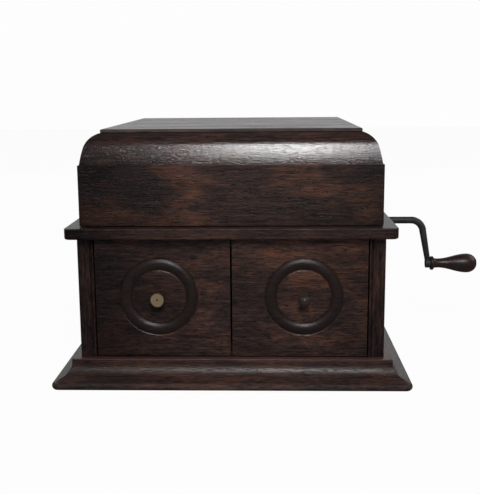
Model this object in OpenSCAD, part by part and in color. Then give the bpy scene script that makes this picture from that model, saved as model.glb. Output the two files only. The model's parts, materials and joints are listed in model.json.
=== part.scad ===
// Tabletop gramophone: a horn inside the case behind two doors, a spring motor, a lid over the turntable.
// Millimetres, Z up, the front faces -Y. The origin is the centre of the plinth's underside.

/* [Case] */
// Width of the lower case over its side panels
case_w = 407; // [395:1:430]
// Depth of the lower case from door face to back panel
case_d = 467; // [455:1:490]
// Height of the plinth up to its ledge
plinth_h = 36; // [33:1:42]
// Height of the door opening, from plinth ledge to waist
door_space_h = 162.5; // [155:0.5:175]
// Thickness of the side, back and bottom boards
wall = 12; // [10:0.5:14]
// Thickness of the doors, stiles and front rail
front_t = 16; // [14:0.5:18]
// Width of each front stile
stile_w = 21; // [19:0.5:26]
// Width of the bead along the inner edge of a stile
stile_bead_w = 3.6; // [3:0.2:6]

/* [Mouldings] */
// How far the plinth's ledge stands out from the case
ledge_out = 11; // [8:0.5:14]
// How far the plinth's lip stands out from the case
plinth_out = 35.5; // [30:0.5:40]
// Radius of the plinth's and waist's corners in plan
plan_r = 10; // [4:1:12]
// How far the waist stands out from the case
waist_out = 15; // [11:0.5:18]
// Height of the waist moulding
waist_h = 14.5; // [12:0.5:18]

/* [Lid] */
// Step in from the case face to the lid face
lid_step = 3.5; // [2:0.5:5]
// Height of the lid's flat band
band_h = 80.5; // [70:0.5:95]
// Thickness of the band's boards
band_t = 12; // [10:0.5:14]
// Radius of the lid's cushion moulding at its shoulder
cushion_r = 27; // [24:1:32]
// Mean lean of the cushion's lower face, in degrees
cushion_lean = 12.8; // [8:0.2:18]
// Height of the cushion moulding
cushion_h = 41; // [36:0.5:41]
// Thickness of the top panel
panel_t = 4.5; // [4:0.5:8]

/* [Doors] */
// Gap where the doors meet
meeting_gap = 2.4; // [1:0.1:4]
// Gap over and under each door
door_clear = 1.5; // [1:0.1:2.5]
// Mean radius of the ring on each door
ring_r = 44.25; // [38:0.25:50]
// Width of the ring's bead in its groove
ring_w = 14.5; // [10:0.5:16]
// How far the ring stands proud of the door
ring_rise = 1.2; // [0.6:0.1:3]
// Distance of the knobs and rings from the middle of the front
ring_x = 96.6; // [88:0.2:100]
// How far the flat knob stands out
flat_knob_len = 18; // [16:0.5:28]
// Radius of the flat knob's face
flat_knob_r = 9.8; // [8:0.2:12]
// How far the ball knob stands out
ball_knob_len = 28.5; // [22:0.5:30]
// Radius of the ball knob
ball_knob_r = 8; // [6:0.2:10]

/* [Turntable] */
// Thickness of the motor board
board_t = 12; // [10:0.5:13.5]
// Radius of the platter
platter_r = 127; // [110:1:130]
// Height of the platter over the motor board
platter_lift = 12; // [10:0.5:14]
// Height of the platter's rim
platter_h = 8; // [7:0.5:10]

/* [Motor] */
// Radius of the spring barrel
barrel_r = 45; // [40:0.5:46]
// Height of the spring barrel
barrel_h = 30; // [24:1:32]
// Thickness of the motor's plates
plate_t = 3; // [2:0.5:3.5]
// Depth of the motor from the board to the underside of its bottom plate
motor_depth = 79; // [78.5:0.5:80]
// Radius of the governor's friction disc
disc_r = 18; // [14:0.5:19]

/* [Crank] */
// Radius of the crank's bent rod
crank_r = 5.5; // [4:0.25:5.5]
// Distance from the shaft's axis down to the handle's axis
crank_throw = 69.8; // [60:0.5:80]
// Length of the wooden handle
handle_len = 74; // [66:1:85]
// Largest radius of the handle
handle_r = 15.2; // [13:0.2:17]

/* [Tonearm] */
// Outer radius of the tonearm at its pivot
arm_r = 10; // [9:0.25:11]
// Outer radius of the tonearm at its front end
arm_tip_r = 7.5; // [7:0.25:8.5]
// Wall of the tonearm tubes
arm_wall = 2; // [1.5:0.1:2.5]
// Radius of the soundbox
soundbox_r = 27; // [24:0.5:28]

/* [Horn] */
// Thickness of the horn's boards
horn_t = 6; // [5:0.5:8]
// Gap between the horn's mouth and each side panel
mouth_gap = 15.5; // [14:0.5:35]
// Half width of the horn where it starts
throat_half_w = 26; // [24:1:32]
// Bore radius of the throat
throat_r = 13; // [10:0.5:14]

/* [Hidden] */
$fn = 64;
joint_gap = 0.2;
seat = 0.05;
run = 0.04;
free = 0.3;

cx = case_w / 2;
cy = case_d / 2;
in_x = cx - wall;
in_y = cy - wall;
waist_z = plinth_h + door_space_h;
board_top = waist_z + board_t;
lid_z = waist_z + waist_h + 0.5;
lid_x = cx - lid_step;
lid_y = cy - lid_step;
band_top = lid_z + band_h;
cushion_step = 2;
cushion_top = band_top + cushion_h;
cushion_swell = 8.5;
foot_a = cushion_lean - cushion_swell / 2;
shoulder_a = cushion_lean + cushion_swell / 2;
cushion_end_a = 79;
face_h = cushion_h - cushion_r * (sin(cushion_end_a) - sin(shoulder_a));
face_r = face_h / (sin(shoulder_a) - sin(foot_a));
shoulder_in = cushion_step + face_r * (cos(foot_a) - cos(shoulder_a)) + cushion_r * cos(shoulder_a);
cushion_in = shoulder_in - cushion_r * cos(cushion_end_a);
panel_x = lid_x - cushion_in + 1.1;

ledge_edge_h = 2.2;
quirk = 0.8;
cove_drop = 6;
cove_r = 17;
slope_a = 27;
nose_r = 5.5;
nose_z = 4.6;

front_y = -cy;
door_back_y = front_y + front_t;
door_side_gap = 1.6;
door_x0 = cx - stile_w - door_side_gap;
pin_from_edge = 8;
pin_from_face = 4.5;
pivot_x = door_x0 - pin_from_edge;
pivot_y = front_y + pin_from_face;
catch_x = 14;
catch_y = front_y + front_t / 2;
door_z0 = plinth_h + door_clear;
door_z1 = waist_z - door_clear;
door_mid_z = (door_z0 + door_z1) / 2 + 1.5;
pin_r = 2.5;
pin_in = 10;
ring_bed = 1.3;
ring_arc_r = (pow(ring_w / 2, 2) + pow(ring_rise + ring_bed, 2)) / (2 * (ring_rise + ring_bed));
recess_low = ring_w / 2 + 0.3;
recess_mid = recess_low + 0.5;
lip_drop = 0.6;
lip_w = 1.2;
recess_top = recess_mid + lip_w * (1 + lip_drop) / lip_drop;
stem_r = 3;

ledger_h = 8.5;
ledger_w = 12;
ledger_z = waist_z - ledger_h;

spin_x = -15;
spin_y = -25;
spin_r = 4;
platter_z = board_top + platter_lift;
platter_top = platter_z + platter_h;
felt_t = 1.5;
record_z = platter_top + felt_t + 2;

mod_m = 1;
barrel_teeth = 96;
step_pinion_teeth = 16;
step_teeth = 72;
spin_pinion_teeth = 15;
worm_starts = 4;
worm_wheel_teeth = 48;
contrate_teeth = 36;
wind_teeth = 14;
drum_x = 70;
drum_y = 20;
gear_t = 5;
drum_to_step = mod_m * (barrel_teeth + step_pinion_teeth) / 2;
step_to_spin = mod_m * (step_teeth + spin_pinion_teeth) / 2;
spin_dx = spin_x - drum_x;
spin_dy = spin_y - drum_y;
drum_to_spin = sqrt(spin_dx * spin_dx + spin_dy * spin_dy);
step_along = (pow(drum_to_step, 2) - pow(step_to_spin, 2) + pow(drum_to_spin, 2)) / (2 * drum_to_spin);
step_aside = sqrt(pow(drum_to_step, 2) - pow(step_along, 2));
step_x = drum_x + (spin_dx * step_along - spin_dy * step_aside) / drum_to_spin;
step_y = drum_y + (spin_dy * step_along + spin_dx * step_aside) / drum_to_spin;
step_from_drum_a = atan2(step_y - drum_y, step_x - drum_x);
spin_from_step_a = atan2(spin_y - step_y, spin_x - step_x);

top_plate_z = waist_z - plate_t;
bottom_plate_z = waist_z - motor_depth;
drum_z = bottom_plate_z + plate_t + 6;
drum_gear_z = drum_z + barrel_h;
contrate_z = drum_gear_z + gear_t + 5;
contrate_r = mod_m * contrate_teeth / 2;
wind_r = mod_m * wind_teeth / 2;
crank_z = contrate_z + 2.5 + 3.5 + wind_r + 1;
step_gear_z = crank_z - 4;
worm_z = bottom_plate_z + plate_t + 22;
worm_wheel_r = mod_m * worm_wheel_teeth / 2;
worm_r = 6;
worm_y = spin_y - worm_wheel_r - worm_r;
worm_lead = worm_starts * PI * mod_m;
worm_len = 26;
worm_phase = 33.75;
gov_x0 = -104;
gov_x1 = 0;
bearing_t = 4;
gov_r = 2.5;
fixed_collar_x = -36;
disc_x = -86;
disc_t = 3;
spring_at_r = 11;
weight_r = 5.5;
pillar_r = 4;
pillars = [[spin_x - 27, drum_y - 15], [drum_x - 65, drum_y + 50], [drum_x + 52, drum_y + 46],
    [drum_x + 52, drum_y - 46]];
plate_x0 = spin_x - 35;
plate_x1 = drum_x + 60;
plate_y0 = spin_y - 20;
plate_y1 = drum_y + 58;
arbor_r = 4;
wind_shaft_r = 6;
wind_x = drum_x + contrate_r;
wind_step_x = wind_x + 8;
rod_x0 = cx - 7.5;
crank_top_x = cx + 89;
crank_lean = 10.6;
bend_r = 19;
crank_end_x = crank_top_x + crank_throw * tan(crank_lean);
crank_end_z = crank_z - crank_throw;
handle_x = crank_end_x + 3.5;
handle_pin_r = 3.2;
eye_r = 7.5;
eye_t = 4.2;
crank_tip_r = 0.77 * crank_r;
pin_head_r = 4.4;
pin_head_t = 1;

arm_x = in_x - 81.5;
arm_y = 165;
arm_rest_a = 6;
arm_z = record_z + 36.5;
bend_arm_r = 20;
arm_len = 206;
base_r = 14;
socket_r = 17;
elbow_r = 14;
soundbox_y = arm_len + 12 + elbow_r;
soundbox_x = elbow_r + 2;
rest_at = 150;
rest_tube_r = arm_r + (arm_tip_r - arm_r) * (rest_at - bend_arm_r) / (arm_len - bend_arm_r);

hinge_y = lid_y + 4;
hinge_z = waist_z + waist_h + 3.4;
hinge_x = 120;
knuckle_r = 3.2;
knuckle_len = 20;
hinge_pin_r = 1.6;
stay_x = lid_x - band_t - 13;
stay_r = 110;
stay_t = 2;
stay_w = 8;
stay_end_a = 80.5;
stay_slot_y0 = hinge_y - stay_r - stay_w / 2 - 0.6;
stay_slot_len = stay_w + 4;

mouth_half_w = in_x - mouth_gap - horn_t;
throat_bend_r = 30;
throat_wall = 4;
throat_z = plinth_h + 8;
horn_back_y = arm_y - throat_bend_r - 8;
horn_front_y = door_back_y + 0.5;
floor_back_z = wall + horn_t;
roof_back_z = throat_z + throat_half_w;
roof_bend_y = worm_y - 25;
roof_bend_z = bottom_plate_z - 3 - horn_t;

brake_a = -47;
brake_reach = 36;
brake_x = spin_x + (platter_r + brake_reach) * cos(brake_a);
brake_y = spin_y + (platter_r + brake_reach) * sin(brake_a);
knob_a = -132;
speed_x = spin_x + (platter_r + 18) * cos(knob_a);
speed_y = spin_y + (platter_r + 18) * sin(knob_a);
lever_x = disc_x - disc_t - 7;
lever_y = speed_y + 27;
lever_z = worm_z + 8;
cam_r = 5.2;
cam_off = 0.4;
cup_x = in_x - 38;
cup_y = in_y - 36;
cup_r = 20;
cup_h = 12;
reach = 60;

oak = "#2c1c12";
dark_oak = "#1c1410";
inner_wood = "#7a5a3a";
iron = "#3c3e40";
brass = "#b08a45";
nickel = "#b8bcc0";

// Points on an arc, for profiles
function arc_pts(x, y, r, a0, a1, n) = [
    for (i = [0:n])
        let (a = a0 + (a1 - a0) * i / n)
        [x + r * cos(a), y + r * sin(a)]
];

// Points on a flat spiral from radius r0 to r1
function spiral_pts(r0, r1, turns, n) = [
    for (i = [0:n])
        let (a = 360 * turns * i / n, r = r0 + (r1 - r0) * i / n)
        [r * cos(a), r * sin(a)]
];

// Outline of a spur gear whose teeth are thinner than its gaps, so that it runs with backlash
function gear_pts(n, phase) = [
    for (i = [0:n - 1])
        let (
            pitch_r = mod_m * n / 2,
            a = phase + 360 * i / n,
            root = pitch_r - 1.15 * mod_m,
            tip = pitch_r + 0.8 * mod_m,
            wide = 0.27 * 360 / n,
            thin = 0.1 * 360 / n
        )
        each [
            [root * cos(a - wide), root * sin(a - wide)], [tip * cos(a - thin), tip * sin(a - thin)],
            [tip * cos(a + thin), tip * sin(a + thin)], [root * cos(a + wide), root * sin(a + wide)]
        ]
];

module gear(n, h, phase, bore) {
    difference() {
        linear_extrude(h) polygon(gear_pts(n, phase));
        translate([0, 0, -1]) cylinder(h + 2, r = bore);
    }
}

module along_x(x) {
    translate([x, 0, 0]) rotate([0, 90, 0]) children();
}

module at(x, y, z) {
    translate([x, y, z]) children();
}

// Four mitred lengths round a rectangle, drawn as a profile of [out, up]
// Outer corners are rounded in plan beyond round_at
module mitred_ring(half_x, half_y, round_at, z0, z1) {
    difference() {
        for (k = [0:3]) {
            dist = k % 2 == 0 ? half_x : half_y;
            half = k % 2 == 0 ? half_y : half_x;
            rotate([0, 0, 90 * k]) {
                intersection() {
                    translate([dist, 0, 0]) rotate([90, 0, 0])
                        linear_extrude(2 * (half + round_at), center = true) children();
                    translate([dist, 0, z0 - 1]) linear_extrude(z1 - z0 + 2)
                        polygon([[-reach, reach - half], [reach, -reach - half],
                            [reach, reach + half], [-reach, half - reach]]);
                }
                translate([dist + round_at, half + round_at, 0]) rotate_extrude(angle = 90)
                    intersection() {
                        translate([-round_at, 0]) children();
                        translate([0, z0 - 1]) square([reach, z1 - z0 + 2]);
                    }
            }
        }
        mitre_cuts(half_x, half_y, z0, z1);
    }
}

// The same with sharp corners
module sharp_ring(half_x, half_y, z0, z1) {
    difference() {
        for (k = [0:3]) {
            dist = k % 2 == 0 ? half_x : half_y;
            half = k % 2 == 0 ? half_y : half_x;
            rotate([0, 0, 90 * k]) intersection() {
                translate([dist, 0, 0]) rotate([90, 0, 0])
                    linear_extrude(2 * (half + reach), center = true) children();
                translate([dist, 0, z0 - 1]) linear_extrude(z1 - z0 + 2)
                    polygon([[-reach, reach - half], [reach, -reach - half],
                        [reach, reach + half], [-reach, half - reach]]);
            }
        }
        mitre_cuts(half_x, half_y, z0, z1);
    }
}

module mitre_cuts(half_x, half_y, z0, z1) {
    for (sx = [-1, 1], sy = [-1, 1])
        translate([sx * half_x, sy * half_y, (z0 + z1) / 2]) rotate([0, 0, sx * sy * 45])
            cube([3 * reach, joint_gap, z1 - z0 + 4], center = true);
}

// Case

module plinth_profile() {
    edge_z = plinth_h - ledge_edge_h;
    polygon(concat(
        [[0, 0]],
        arc_pts(plinth_out - nose_r, nose_z, nose_r, -asin(nose_z / nose_r), 90 - slope_a, 10),
        arc_pts(ledge_out + cove_r, plinth_h - cove_drop, cove_r, -90 - slope_a, -180, 12),
        [[ledge_out, edge_z - quirk], [ledge_out - quirk, edge_z - quirk], [ledge_out - quirk, edge_z]],
        [[ledge_out, edge_z], [ledge_out, plinth_h - 0.8], [ledge_out - 0.8, plinth_h], [0, plinth_h]]
    ));
}

module plinth_mouldings() {
    color(oak) mitred_ring(cx, cy, plinth_out - plan_r, 0, plinth_h) plinth_profile();
}

module bottom_board() {
    color(inner_wood) translate([-in_x, door_back_y, 0]) cube([2 * in_x, in_y - door_back_y, wall]);
}

module side_panel() {
    translate([in_x, door_back_y, 0]) cube([wall, cy - door_back_y, waist_z]);
}

module left_side_panel() {
    color(oak) mirror([1, 0, 0]) side_panel();
}

module right_side_panel() {
    color(oak) difference() {
        side_panel();
        at(in_x - 1, drum_y, crank_z) rotate([0, 90, 0]) cylinder(wall + 2, r = crank_r + 2.5 + seat);
    }
}

module back_panel() {
    color(oak) translate([-in_x, in_y, 0]) cube([2 * in_x, wall, waist_z]);
}

// One stile: a flat face, a groove, then a bead along the edge next to the door
module stile() {
    bead_r = stile_bead_w / 2;
    edge_x = cx - stile_w;
    translate([0, 0, plinth_h + joint_gap / 2]) linear_extrude(door_space_h - joint_gap / 2) difference() {
        union() {
            translate([edge_x + stile_bead_w + 2 * quirk, front_y])
                square([stile_w - stile_bead_w - 2 * quirk, front_t]);
            translate([edge_x, front_y + bead_r]) square([stile_w, front_t - bead_r]);
            translate([edge_x + bead_r, front_y + bead_r]) circle(bead_r);
        }
        translate([edge_x + stile_bead_w + quirk, front_y + bead_r]) circle(quirk);
    }
}

module front_frame() {
    color(oak) {
        stile();
        mirror([1, 0, 0]) stile();
        difference() {
            translate([-cx, front_y, 0]) cube([case_w, front_t, plinth_h]);
            for (s = [-1, 1]) {
                at(s * pivot_x, pivot_y, plinth_h - pin_in) cylinder(pin_in + 1, r = pin_r + seat);
                at(s * catch_x, catch_y, plinth_h - 8) cylinder(9, r = 4 + seat);
            }
        }
    }
}

module waist_profile() {
    polygon(concat(
        [[-wall, waist_z]],
        arc_pts(waist_out - 2.2, waist_z + 2.2, 2.2, -90, 0, 5),
        arc_pts(waist_out - 1.4, waist_z + waist_h - 1.4, 1.4, 0, 90, 4),
        [[-wall, waist_z + waist_h]]
    ));
}

module waist_mouldings() {
    color(oak) difference() {
        mitred_ring(cx, cy, waist_out - plan_r, waist_z, waist_z + waist_h) waist_profile();
        for (s = [-1, 1]) at(s * pivot_x, pivot_y, waist_z - 1) cylinder(pin_in + 1, r = pin_r + seat);
    }
}

module motor_board() {
    edge = 0.5;
    color(inner_wood) difference() {
        translate([edge - in_x, edge - in_y, waist_z])
            cube([2 * (in_x - edge), 2 * (in_y - edge), board_t]);
        at(spin_x, spin_y, waist_z - 1) cylinder(board_t + 2, r = spin_r + 3);
        at(arm_x, arm_y, waist_z - 1) cylinder(board_t + 2, r = throat_r);
        at(speed_x, speed_y, waist_z - 1) cylinder(board_t + 2, r = 3 + run);
        at(brake_x, brake_y, board_top - 8) cylinder(9, r = 3 + seat);
        at(lever_x, lever_y, waist_z - 1) cylinder(9, r = 3 + seat);
        for (p = pillars) at(p[0], p[1] + 10, waist_z - 1) cylinder(board_t + 2, r = 2.5);
        at(-stay_x - stay_w / 4, stay_slot_y0, waist_z - 1) cube([stay_w / 2, stay_slot_len, board_t + 2]);
    }
}

module ledger_strips() {
    color(inner_wood) difference() {
        union() {
            for (s = [0, 1]) mirror([s, 0, 0])
                translate([in_x - ledger_w, door_back_y, ledger_z])
                    cube([ledger_w, in_y - door_back_y, ledger_h]);
            translate([ledger_w + joint_gap - in_x, door_back_y, ledger_z])
                cube([2 * (in_x - ledger_w - joint_gap), ledger_w, ledger_h]);
            translate([ledger_w + joint_gap - in_x, in_y - ledger_w, ledger_z])
                cube([2 * (in_x - ledger_w - joint_gap), ledger_w, ledger_h]);
        }
        at(-stay_x - 4, stay_slot_y0 - 4, ledger_z - 1) cube([8, stay_slot_len + 8, ledger_h + 2]);
    }
}

// Horn: boards between the throat at the back right and the mouth behind the doors

module horn_plan(grow) {
    polygon([
        [arm_x - throat_half_w - grow, horn_back_y], [-mouth_half_w - grow, horn_front_y],
        [mouth_half_w + grow, horn_front_y], [arm_x + throat_half_w + grow, horn_back_y]
    ]);
}

module yz_slab(points) {
    translate([-cx, 0, 0]) rotate([90, 0, 90]) linear_extrude(case_w) polygon(points);
}

module horn_floor() {
    color(inner_wood) {
        intersection() {
            linear_extrude(waist_z) horn_plan(horn_t);
            yz_slab([[horn_front_y, plinth_h], [horn_front_y, plinth_h - horn_t],
                [horn_back_y, floor_back_z - horn_t], [horn_back_y, floor_back_z]]);
        }
        difference() {
            translate([arm_x - throat_half_w - horn_t, horn_back_y + joint_gap, wall])
                cube([2 * (throat_half_w + horn_t), 8 - joint_gap, roof_back_z + horn_t - wall]);
            at(arm_x, horn_back_y - 1, throat_z) rotate([-90, 0, 0])
                cylinder(10, r = throat_r + throat_wall + seat);
        }
    }
}

module horn_roof() {
    color(inner_wood) intersection() {
        linear_extrude(waist_z) horn_plan(horn_t);
        union() {
            yz_slab([[horn_back_y, roof_back_z], [horn_back_y, roof_back_z + horn_t],
                [roof_bend_y + joint_gap, roof_bend_z + horn_t], [roof_bend_y + joint_gap, roof_bend_z]]);
            yz_slab([[roof_bend_y, roof_bend_z], [roof_bend_y, roof_bend_z + horn_t],
                [horn_front_y, ledger_z], [horn_front_y, ledger_z - horn_t]]);
        }
    }
}

module horn_cheeks() {
    color(inner_wood) intersection() {
        linear_extrude(waist_z) difference() {
            horn_plan(horn_t);
            horn_plan(0);
        }
        yz_slab([[horn_front_y, plinth_h], [horn_front_y, ledger_z - horn_t], [roof_bend_y, roof_bend_z],
            [horn_back_y, roof_back_z], [horn_back_y, floor_back_z]]);
    }
}

module horn_throat() {
    outer = throat_r + throat_wall;
    leg_z = throat_z + throat_bend_r;
    color(iron) difference() {
        union() {
            at(arm_x, arm_y, leg_z) cylinder(waist_z - leg_z, r = outer);
            at(arm_x, arm_y, waist_z - 4) cylinder(4, r = outer + 10);
            at(arm_x, arm_y - throat_bend_r, leg_z) rotate([90, 0, 90]) rotate([0, 0, -90])
                rotate_extrude(angle = 90) translate([throat_bend_r, 0]) circle(outer);
            at(arm_x, horn_back_y, throat_z) rotate([-90, 0, 0]) cylinder(8, r = outer);
        }
        at(arm_x, arm_y, leg_z) cylinder(waist_z - leg_z + 1, r = throat_r);
        at(arm_x, arm_y - throat_bend_r, leg_z) rotate([90, 0, 90]) rotate([0, 0, -90])
            rotate_extrude(angle = 90) translate([throat_bend_r, 0]) circle(throat_r);
        at(arm_x, horn_back_y - 1, throat_z) rotate([-90, 0, 0]) cylinder(9, r = throat_r);
    }
}

// Doors

module door_blank() {
    difference() {
        union() {
            translate([meeting_gap / 2, front_y, door_z0])
                cube([pivot_x - meeting_gap / 2, front_t, door_z1 - door_z0]);
            intersection() {
                at(pivot_x, pivot_y, door_z0) cylinder(door_z1 - door_z0, r = front_t - pin_from_face);
                at(pivot_x - 1, front_y, door_z0) cube([pin_from_edge + 1, front_t, door_z1 - door_z0]);
            }
        }
        at(pivot_x, pivot_y, door_z0 - 1) cylinder(pin_in + 2, r = pin_r + run);
        at(pivot_x, pivot_y, door_z1 - pin_in - 1) cylinder(pin_in + 2, r = pin_r + run);
        at(ring_x, front_y, door_mid_z) rotate([90, 0, 0]) {
            rotate_extrude() polygon([
                [ring_r - recess_top, 1], [ring_r - recess_mid, -lip_drop], [ring_r - recess_low, -ring_bed],
                [ring_r + recess_low, -ring_bed], [ring_r + recess_mid, -lip_drop], [ring_r + recess_top, 1]
            ]);
            translate([0, 0, -front_t / 2]) cylinder(front_t, r = stem_r + seat);
        }
    }
}

module door_ring() {
    at(ring_x, front_y, door_mid_z) rotate([90, 0, 0]) rotate_extrude() intersection() {
        translate([ring_r, ring_rise - ring_arc_r]) circle(ring_arc_r);
        translate([ring_r - ring_w, -ring_bed]) square([2 * ring_w, ring_bed + ring_rise + 1]);
    }
}

module left_door() {
    color(oak) mirror([1, 0, 0]) door_blank();
}

module right_door() {
    color(oak) door_blank();
}

module left_door_ring() {
    color(dark_oak) mirror([1, 0, 0]) door_ring();
}

module right_door_ring() {
    color(dark_oak) door_ring();
}

// The left knob is turned with a flat pale face and a small hole in its middle
module left_door_knob() {
    r = flat_knob_r;
    len = flat_knob_len;
    color("#9a876a") at(-ring_x, front_y, door_mid_z) rotate([90, 0, 0]) rotate_extrude() polygon(concat(
        [[0, -front_t / 2 + 1], [stem_r, -front_t / 2 + 1], [stem_r, 0]],
        [[2 * stem_r, 0], [2 * stem_r, 1.4], [1.5 * stem_r, 2.6]],
        arc_pts(stem_r + 8.8, len * 0.4, 8, 215, 145, 8),
        [[r - 2.4, len - 6]],
        arc_pts(r - 1.8, len - 4.2, 1.8, -60, 0, 4),
        arc_pts(r - 1, len - 1, 1, 0, 90, 4),
        [[1.3, len], [1.1, len - 1.2], [0, len - 1.2]]
    ));
}

// The right knob is a turned ball
module right_door_knob() {
    r = ball_knob_r;
    len = ball_knob_len;
    color(dark_oak) at(ring_x, front_y, door_mid_z) rotate([90, 0, 0]) rotate_extrude() polygon(concat(
        [[0, -front_t / 2 + 1], [stem_r, -front_t / 2 + 1], [stem_r, 0]],
        [[2 * stem_r, 0], [2 * stem_r, 1.4], [1.6 * stem_r, 2.6]],
        [[1.25 * stem_r, 4.6], [1.2 * stem_r, 6.5]],
        arc_pts(0, len - r, r, -60, 90, 18)
    ));
}

module door_pins_and_catches() {
    color(brass) for (s = [-1, 1]) {
        at(s * pivot_x, pivot_y, plinth_h - pin_in) cylinder(2 * pin_in, r = pin_r);
        at(s * pivot_x, pivot_y, waist_z - pin_in) cylinder(2 * pin_in, r = pin_r);
        at(s * catch_x, catch_y, plinth_h - 8) cylinder(8, r = 4);
        intersection() {
            at(s * catch_x, catch_y, plinth_h - 1.8) sphere(3);
            at(s * catch_x, catch_y, plinth_h - 1) cylinder(3, r = 4);
        }
    }
}

// Lid

module lid_frame_boards() {
    color(oak) difference() {
        sharp_ring(lid_x, lid_y, lid_z, band_top) polygon([
            [-band_t, lid_z], [-0.8, lid_z], [0, lid_z + 0.8],
            [0, band_top - 0.5], [-0.5, band_top], [-band_t, band_top]
        ]);
    }
}

// A slightly swelling face below and a round shoulder above
module lid_mouldings() {
    inner = cushion_in + 13.5;
    face_x = -cushion_step - face_r * cos(foot_a);
    face_z = band_top - face_r * sin(foot_a);
    shoulder_z = band_top + face_h - cushion_r * sin(shoulder_a);
    color(oak) sharp_ring(lid_x, lid_y, band_top, cushion_top) polygon(concat(
        arc_pts(face_x, face_z, face_r, foot_a, shoulder_a - cushion_swell / 8, 7),
        arc_pts(-shoulder_in, shoulder_z, cushion_r, shoulder_a, cushion_end_a, 14),
        [[-inner, cushion_top], [-inner, cushion_top - 10], [-band_t - 2, band_top]]
    ));
}

// The panel's edge is eased on all four sides
module lid_top_panel() {
    px = panel_x;
    py = lid_y - lid_x + panel_x;
    color(oak) intersection() {
        rotate([90, 0, 0]) linear_extrude(3 * py, center = true) panel_outline(px);
        rotate([90, 0, 90]) linear_extrude(3 * px, center = true) panel_outline(py);
    }
}

module panel_outline(half) {
    z0 = cushion_top;
    z1 = cushion_top + panel_t;
    polygon([
        [-half + 0.6, z0], [half - 0.6, z0], [half, z0 + 0.6], [half, z1 - 1.2],
        [half - 1.2, z1], [-half + 1.2, z1], [-half, z1 - 1.2], [-half, z0 + 0.6]
    ]);
}

// Butt hinges: outer knuckles and pin on the case leaf, middle knuckle on the lid leaf
module case_hinge_leaves() {
    leaf_z = waist_z + waist_h;
    color(brass) for (s = [-1, 1]) translate([s * hinge_x - 1.5 * knuckle_len, 0, 0]) {
        for (k = [0, 2]) {
            at(k * knuckle_len, hinge_y, hinge_z) rotate([0, 90, 0])
                cylinder(knuckle_len - free, r = knuckle_r);
            at(k * knuckle_len, hinge_y, leaf_z) cube([knuckle_len - free, 10, 1.6]);
            at(k * knuckle_len, hinge_y - 1, leaf_z) cube([knuckle_len - free, 2, 3]);
        }
        at(0, hinge_y + 4, leaf_z) cube([3 * knuckle_len - free, 6, 1.6]);
        at(0, hinge_y, hinge_z) rotate([0, 90, 0]) cylinder(3 * knuckle_len - free, r = hinge_pin_r);
        for (k = [0.5, 1.5, 2.5]) at(k * knuckle_len, hinge_y + 7, leaf_z) cylinder(2.1, r = 2.2);
    }
}

module lid_hinge_leaves() {
    mid = knuckle_len - 2 * free;
    color(brass) for (s = [-1, 1]) translate([s * hinge_x - 0.5 * knuckle_len, 0, 0]) difference() {
        union() {
            at(free / 2, hinge_y, hinge_z) rotate([0, 90, 0]) cylinder(mid, r = knuckle_r);
            at(free / 2, lid_y, hinge_z - 1) cube([mid, hinge_y - lid_y, 2]);
            at(free / 2, lid_y, hinge_z - 1) cube([mid, 1.6, 12]);
            at(-knuckle_len, lid_y, hinge_z + 5) cube([3 * knuckle_len - free, 1.6, 20]);
            for (k = [-0.6, 0.5, 1.6]) at(k * knuckle_len, lid_y, hinge_z + 18)
                rotate([-90, 0, 0]) cylinder(2.1, r = 2.2);
        }
        at(-1, hinge_y, hinge_z) rotate([0, 90, 0]) cylinder(knuckle_len + 2, r = hinge_pin_r + run);
    }
}

// Quadrant stay, an arc about the lid's hinge, sliding in a slot in the motor board
module lid_stay() {
    foot_z = hinge_z + 14;
    color(brass) {
        at(-stay_x - stay_t / 2, hinge_y, hinge_z) rotate([90, 0, 90]) linear_extrude(stay_t)
            polygon(concat(
                arc_pts(0, 0, stay_r + stay_w / 2, 168, 180 + stay_end_a, 30),
                arc_pts(0, 0, stay_r - stay_w / 2, 180 + stay_end_a, 168, 30)
            ));
        at(-stay_x, hinge_y - stay_r * cos(stay_end_a), hinge_z - stay_r * sin(stay_end_a))
            rotate([0, 90, 0]) cylinder(8, r = 2, center = true);
        at(-lid_x + band_t, hinge_y - stay_r - 5, foot_z)
            cube([lid_x - band_t - stay_x + stay_t / 2, 8, 12]);
        at(-lid_x + band_t, hinge_y - stay_r - 12, foot_z - 4) cube([2, 22, 22]);
    }
}

module stay_guide() {
    color(brass) difference() {
        at(-stay_x - 9, stay_slot_y0 - 8, board_top) cube([18, stay_slot_len + 16, 2]);
        at(-stay_x - stay_w / 4, stay_slot_y0, board_top - 1) cube([stay_w / 2, stay_slot_len, 4]);
    }
}

// Motor

module motor_top_plate() {
    color(iron) difference() {
        at(gov_x0 - 6, worm_y - 20, top_plate_z)
            cube([plate_x1 - gov_x0 + 6, plate_y1 - worm_y + 20, plate_t]);
        at(spin_x, spin_y, top_plate_z - 1) cylinder(plate_t + 2, r = spin_r + run);
        at(drum_x, drum_y, top_plate_z - 1) cylinder(plate_t + 2, r = arbor_r + run);
        at(step_x, step_y, top_plate_z - 1) cylinder(plate_t + 2, r = 3 + run);
        at(lever_x, lever_y, top_plate_z - 1) cylinder(plate_t + 2, r = 4);
        for (p = pillars) at(p[0], p[1] + 10, top_plate_z - 1) cylinder(plate_t + 2, r = 2.5);
    }
}

module motor_bottom_plate() {
    color(iron) difference() {
        at(plate_x0, plate_y0, bottom_plate_z) cube([plate_x1 - plate_x0, plate_y1 - plate_y0, plate_t]);
        at(spin_x, spin_y, bottom_plate_z - 1) cylinder(plate_t + 2, r = spin_r + run);
        at(drum_x, drum_y, bottom_plate_z - 1) cylinder(plate_t + 2, r = arbor_r + run);
        at(step_x, step_y, bottom_plate_z - 1) cylinder(plate_t + 2, r = 3 + run);
    }
}

module motor_pillars() {
    color(iron) for (p = pillars) at(p[0], p[1], bottom_plate_z + plate_t)
        cylinder(motor_depth - 2 * plate_t, r = pillar_r);
}

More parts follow.
